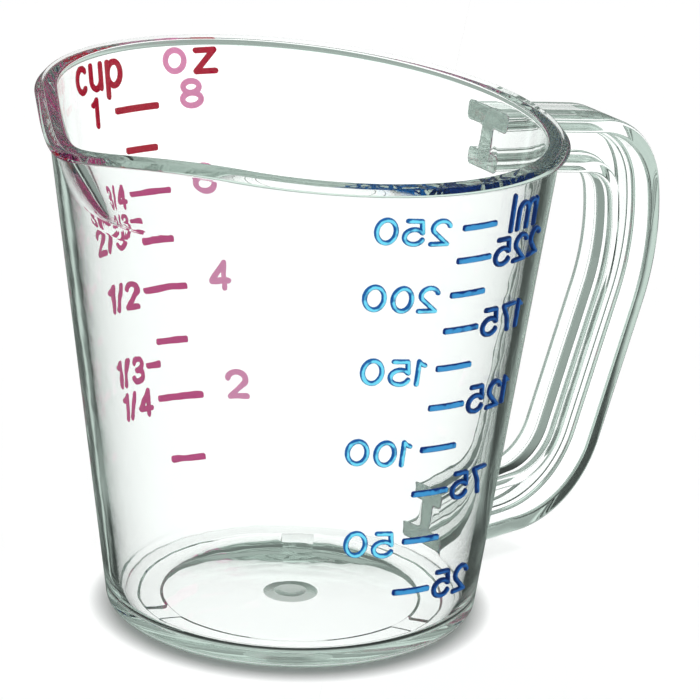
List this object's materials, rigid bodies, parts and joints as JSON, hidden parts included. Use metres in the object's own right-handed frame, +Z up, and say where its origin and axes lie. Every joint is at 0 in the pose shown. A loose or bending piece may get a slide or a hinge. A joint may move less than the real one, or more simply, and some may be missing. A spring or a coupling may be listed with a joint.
{
  "type": "measuring cup",
  "caption": "Clear moulded measuring cup with a tapered wall, a slanting rim, a V-shaped pouring spout, an I-section loop handle and raised metric and fluid-ounce scales.",
  "frame": {"origin": "middle of the object's length and width, on the table plane that the foot ring stands on", "axes": "+X towards the handle, -X towards the spout, +Z up"},
  "size_m": [0.123, 0.085, 0.0887],
  "materials": {
    "clear_plastic": "clear, polished",
    "blue_ink": "satin ink on raised marks",
    "red_ink": "satin ink on raised marks"
  },
  "bodies": {
    "root": {"cup_body": "clear_plastic", "handle": "clear_plastic", "ml_mark_25": "blue_ink", "ml_mark_50": "blue_ink", "ml_mark_75": "blue_ink", "ml_mark_100": "blue_ink", "ml_mark_125": "blue_ink", "ml_mark_150": "blue_ink", "ml_mark_175": "blue_ink", "ml_mark_200": "blue_ink", "ml_mark_225": "blue_ink", "ml_mark_250": "blue_ink", "oz_mark_1": "red_ink", "oz_mark_2": "red_ink", "oz_mark_3": "red_ink", "oz_mark_4": "red_ink", "oz_mark_5": "red_ink", "oz_mark_6": "red_ink", "oz_mark_7": "red_ink", "oz_mark_8": "red_ink", "cup_mark_1_3": "red_ink", "cup_mark_2_3": "red_ink"}
  },
  "joints": []
}
